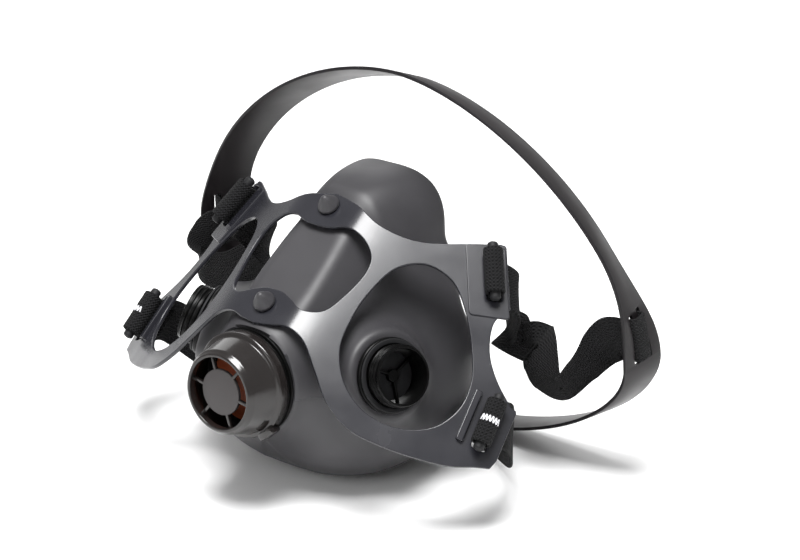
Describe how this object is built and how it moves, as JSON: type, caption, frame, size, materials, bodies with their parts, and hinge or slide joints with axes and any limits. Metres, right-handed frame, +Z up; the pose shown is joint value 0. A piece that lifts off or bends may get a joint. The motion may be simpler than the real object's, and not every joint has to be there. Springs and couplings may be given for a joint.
{
  "type": "half-mask respirator",
  "caption": "Elastomer half-mask respirator without cartridges: cradle, threaded filter ports, capped exhalation valve, webbing and a plastic headpiece ring.",
  "frame": {"origin": "middle of the bounding box, at the height of the surface that the chin and the headpiece stand on", "axes": "+Z up, -Y out through the exhalation valve, +X along the headpiece's width"},
  "size_m": [0.2348, 0.1442, 0.1621],
  "materials": {
    "elastomer": "satin",
    "cradle": "satin",
    "gloss": "gloss",
    "rubber": "matte",
    "flap": "satin",
    "webbing": "woven",
    "band": "satin"
  },
  "bodies": {
    "mask": {"facepiece": "elastomer", "port_connector_left": "gloss", "port_gasket_left": "rubber", "port_retaining_ring_left": "gloss", "port_connector_right": "gloss", "port_gasket_right": "rubber", "port_retaining_ring_right": "gloss", "exhalation_valve_seat": "gloss", "valve_retaining_ring": "gloss", "cradle": "cradle", "upper_rod_left": "gloss", "lower_rod_left": "gloss", "upper_strap_left": "webbing", "neck_strap_left": "webbing", "upper_rod_right": "gloss", "lower_rod_right": "gloss", "upper_strap_right": "webbing", "neck_strap_right": "webbing", "neck_clasp_loop": "gloss", "neck_clasp_hook": "gloss"},
    "guard": {"exhalation_valve_guard": "gloss"},
    "exhalation_disc": {"exhalation_flap": "flap"},
    "inhalation_disc_left": {"inhalation_flap_left": "rubber"},
    "inhalation_disc_right": {"inhalation_flap_right": "rubber"},
    "head_ring": {"headpiece": "band", "strap_end_left": "webbing", "strap_end_right": "webbing"}
  },
  "joints": [
    {"name": "guard_pull", "type": "slide", "parent": "mask", "child": "guard", "axis": [0, -0.9968, 0.0797], "range_m": [0, 0.02]},
    {"name": "exhalation_flap_lift", "type": "slide", "parent": "mask", "child": "exhalation_disc", "axis": [0, -0.9968, 0.0797], "range_m": [0, 0.001], "stiffness_N_per_m": 20, "springref_m": -0.0005},
    {"name": "inhalation_flap_lift_left", "type": "slide", "parent": "mask", "child": "inhalation_disc_left", "axis": [0.8957, 0.3149, -0.3139], "range_m": [0, 0.002], "stiffness_N_per_m": 20, "springref_m": -0.0005},
    {"name": "inhalation_flap_lift_right", "type": "slide", "parent": "mask", "child": "inhalation_disc_right", "axis": [-0.8957, 0.3149, -0.3139], "range_m": [0, 0.002], "stiffness_N_per_m": 20, "springref_m": -0.0005},
    {"name": "headpiece_tilt", "type": "hinge", "parent": "mask", "child": "head_ring", "pos_m": [0.00137, 0.05291, 0.0683], "axis": [0.9995, -0.032, -0.007], "range_deg": [-3, 15]}
  ]
}
